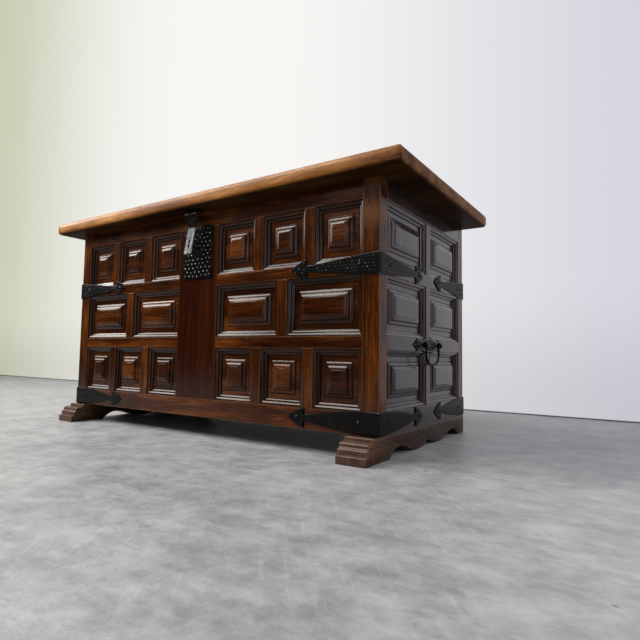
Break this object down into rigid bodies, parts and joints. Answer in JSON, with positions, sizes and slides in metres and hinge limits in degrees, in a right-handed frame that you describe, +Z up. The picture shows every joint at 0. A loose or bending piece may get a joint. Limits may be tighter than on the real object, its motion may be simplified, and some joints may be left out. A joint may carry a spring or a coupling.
{
  "type": "storage chest",
  "caption": "Panelled wooden chest with a hinged lid, forged iron straps, a hasp and staple, bail handles and stepped sledge feet.",
  "frame": {"origin": "middle of the bounding box, on the floor", "axes": "+X to the right along the front, +Y from the front to the back, +Z up"},
  "size_m": [1.244, 0.6125, 0.6433],
  "materials": {
    "frame_wood": "dark red-brown varnish",
    "stile_wood": "deep red varnish",
    "panel_wood": "dark red-brown varnish",
    "moulding_wood": "dark brown varnish",
    "lid_wood": "warm brown gloss varnish",
    "foot_wood": "worn dark varnish",
    "plain_wood": "dull, unvarnished",
    "black_iron": "black, hammered",
    "bright_iron": "hammered and rubbed bright"
  },
  "bodies": {
    "case": {"post_front_left": "frame_wood", "post_front_right": "frame_wood", "post_back_left": "frame_wood", "post_back_right": "frame_wood", "front_top_rail": "frame_wood", "front_upper_rails": "frame_wood", "front_lower_rails": "frame_wood", "front_bottom_rail": "frame_wood", "front_centre_stile": "stile_wood", "front_muntins": "frame_wood", "front_panels_top": "panel_wood", "front_panels_middle": "panel_wood", "front_panels_bottom": "panel_wood", "front_mouldings_top": "moulding_wood", "front_mouldings_middle": "moulding_wood", "front_mouldings_bottom": "moulding_wood", "left_top_rail": "frame_wood", "left_upper_rail": "frame_wood", "left_lower_rail": "frame_wood", "left_bottom_rail": "frame_wood", "left_muntins": "frame_wood", "left_panels": "panel_wood", "left_mouldings": "moulding_wood", "right_top_rail": "frame_wood", "right_upper_rail": "frame_wood", "right_lower_rail": "frame_wood", "right_bottom_rail": "frame_wood", "right_muntins": "frame_wood", "right_panels": "panel_wood", "right_mouldings": "moulding_wood", "back_boards": "plain_wood", "floor_boards": "plain_wood", "floor_cleats": "plain_wood", "foot_left": "foot_wood", "foot_right": "foot_wood", "corner_straps_upper": "black_iron", "corner_straps_lower": "black_iron", "case_nails": "black_iron", "lock_plate": "black_iron", "hasp_staple": "black_iron", "handle_plate_left": "black_iron", "handle_plate_right": "black_iron", "handle_eyes_left": "black_iron", "handle_eyes_right": "black_iron", "hinge_case_leaves": "black_iron", "hinge_pins": "black_iron"},
    "lid": {"lid_board_front": "lid_wood", "lid_board_middle": "lid_wood", "lid_board_back": "lid_wood", "lid_battens": "lid_wood", "lid_nails": "black_iron", "hinge_lid_leaves": "black_iron", "hasp_leaf": "black_iron", "hasp_pin": "black_iron"},
    "hasp": {"hasp": "bright_iron"},
    "bail_left": {"handle_bail_left": "black_iron"},
    "bail_right": {"handle_bail_right": "black_iron"}
  },
  "joints": [
    {"name": "lid_hinge", "type": "hinge", "parent": "case", "child": "lid", "pos_m": [0, 0.30125, 0.6053], "axis": [-1, 0, 0], "range_deg": [0, 100]},
    {"name": "hasp_hinge", "type": "hinge", "parent": "lid", "child": "hasp", "pos_m": [0, -0.27925, 0.5913], "axis": [-1, 0, 0], "range_deg": [-17, 120]},
    {"name": "handle_left", "type": "hinge", "parent": "case", "child": "bail_left", "pos_m": [-0.562, 0.02325, 0.24833], "axis": [0, 1, 0], "range_deg": [0, 170]},
    {"name": "handle_right", "type": "hinge", "parent": "case", "child": "bail_right", "pos_m": [0.562, 0.02325, 0.24833], "axis": [0, -1, 0], "range_deg": [0, 170]}
  ]
}
